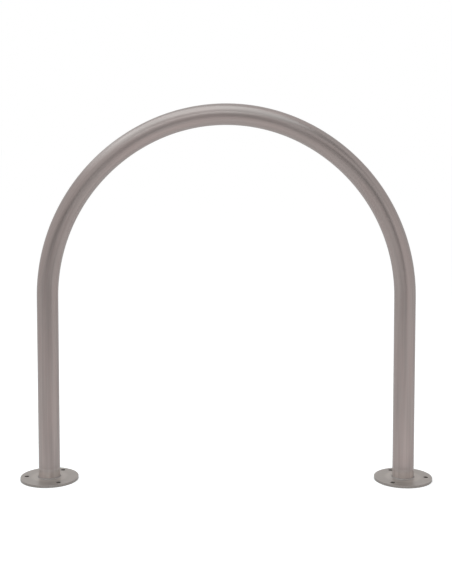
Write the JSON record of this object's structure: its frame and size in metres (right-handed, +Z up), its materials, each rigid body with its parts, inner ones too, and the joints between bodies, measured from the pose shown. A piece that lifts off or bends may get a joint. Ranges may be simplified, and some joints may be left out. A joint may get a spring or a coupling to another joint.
{
  "type": "hoop bike rack",
  "caption": "Floor-mounted bike hoop: a round steel tube bent into an arch with straight legs, welded to round floor flanges with open anchor holes.",
  "frame": {"origin": "on the ground, midway between the two feet, at the centre of the bounding box's bottom face", "axes": "+X along the hoop from the left foot to the right one as seen from the front, +Y through the hoop away from the viewer, +Z up"},
  "size_m": [0.9872, 0.138, 0.899],
  "materials": {
    "satin_tube": "satin stainless steel, fine grain ground round the tube with faint streaks along it",
    "brushed_plate": "brushed stainless plate, straight fine grain, laser-cut rim",
    "dressed_weld": "small weld, ground and blended by hand",
    "raw_weld": "weld bead left as laid, pickled dull grey"
  },
  "bodies": {
    "root": {"hoop_tube": "satin_tube", "left_flange": "brushed_plate", "right_flange": "brushed_plate", "left_fillet_weld": "dressed_weld", "right_fillet_weld": "dressed_weld", "left_root_weld": "raw_weld", "right_root_weld": "raw_weld"}
  },
  "joints": []
}
